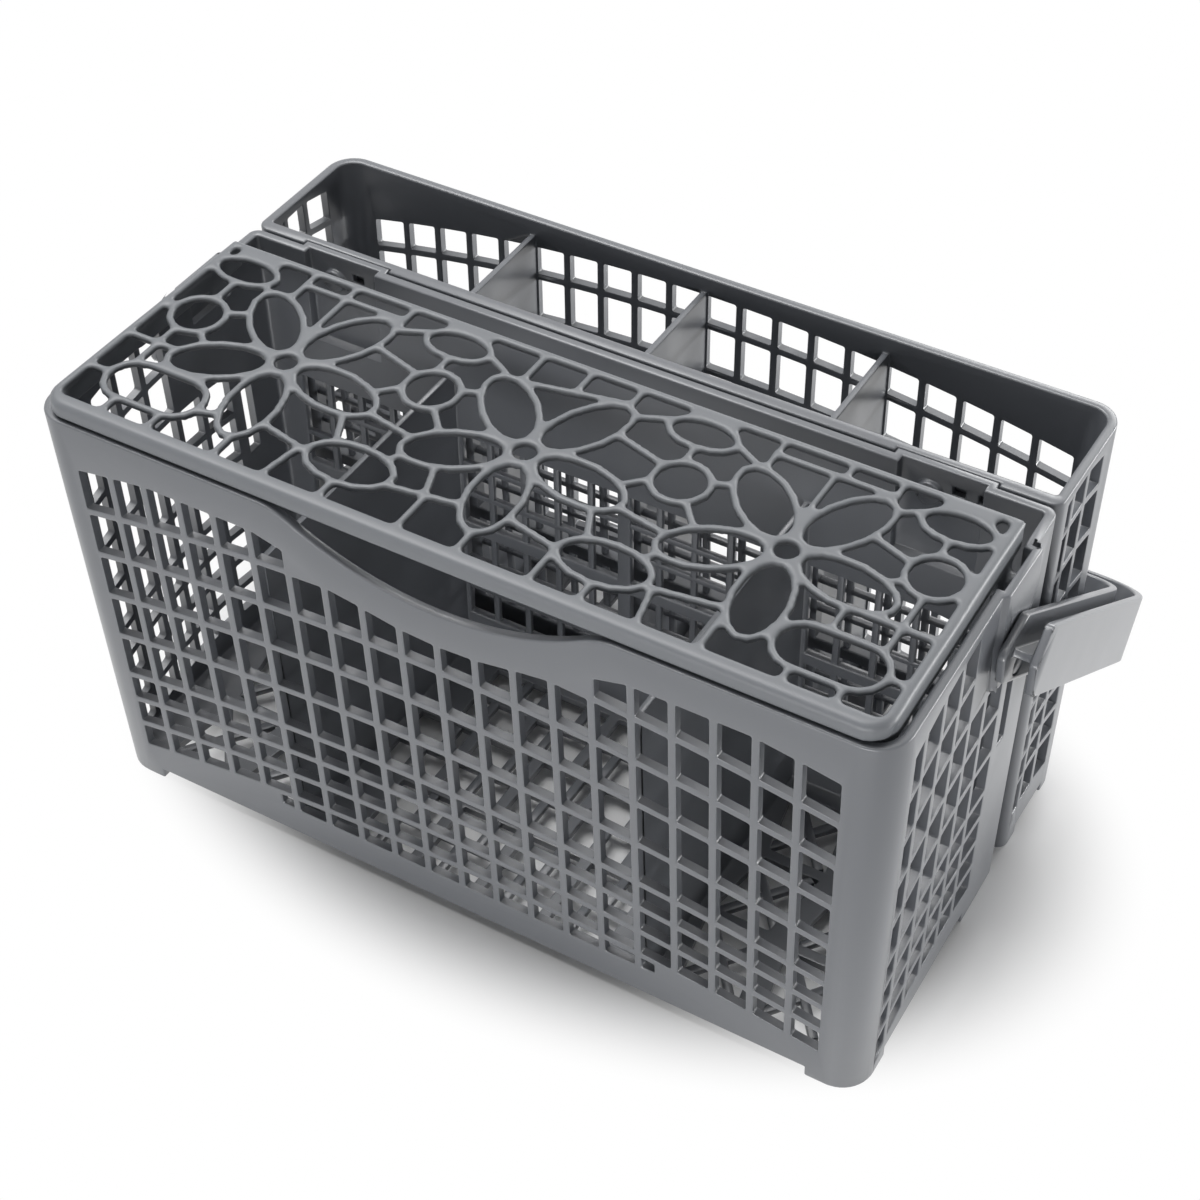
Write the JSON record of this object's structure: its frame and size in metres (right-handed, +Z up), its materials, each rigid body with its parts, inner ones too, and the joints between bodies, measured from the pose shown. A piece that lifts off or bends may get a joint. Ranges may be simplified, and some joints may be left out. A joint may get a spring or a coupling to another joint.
{
  "type": "dishwasher cutlery basket",
  "caption": "Free-standing grey plastic cutlery basket for a dishwasher, with a hinged flower-grille lid, a swinging bail handle and a lift-off open rear basket.",
  "frame": {"origin": "on the floor, under the middle of the whole object's box with its lid closed and its handle folded back", "axes": "+X along the basket's length to the right, +Y from the front wall to the back, +Z up"},
  "size_m": [0.2596, 0.1514, 0.1345],
  "materials": {
    "basket_plastic": "satin moulded polypropylene",
    "lid_plastic": "satin moulded polypropylene",
    "handle_plastic": "satin moulded polypropylene"
  },
  "bodies": {
    "front_basket": {"front_basket": "basket_plastic"},
    "rear_basket": {"rear_basket": "basket_plastic"},
    "lid": {"lid": "lid_plastic"},
    "handle": {"handle": "handle_plastic"}
  },
  "joints": [
    {"name": "lid_hinge", "type": "hinge", "parent": "front_basket", "child": "lid", "pos_m": [0, -0.00666, 0.124], "axis": [-1, 0, 0], "range_deg": [0, 124]},
    {"name": "handle_pivot", "type": "hinge", "parent": "front_basket", "child": "handle", "pos_m": [0, -0.01166, 0.105], "axis": [1, 0, 0], "range_deg": [0, 252]},
    {"name": "rear_basket_lift", "type": "slide", "parent": "front_basket", "child": "rear_basket", "axis": [0, 0, 1], "range_m": [0, 0.008]}
  ]
}
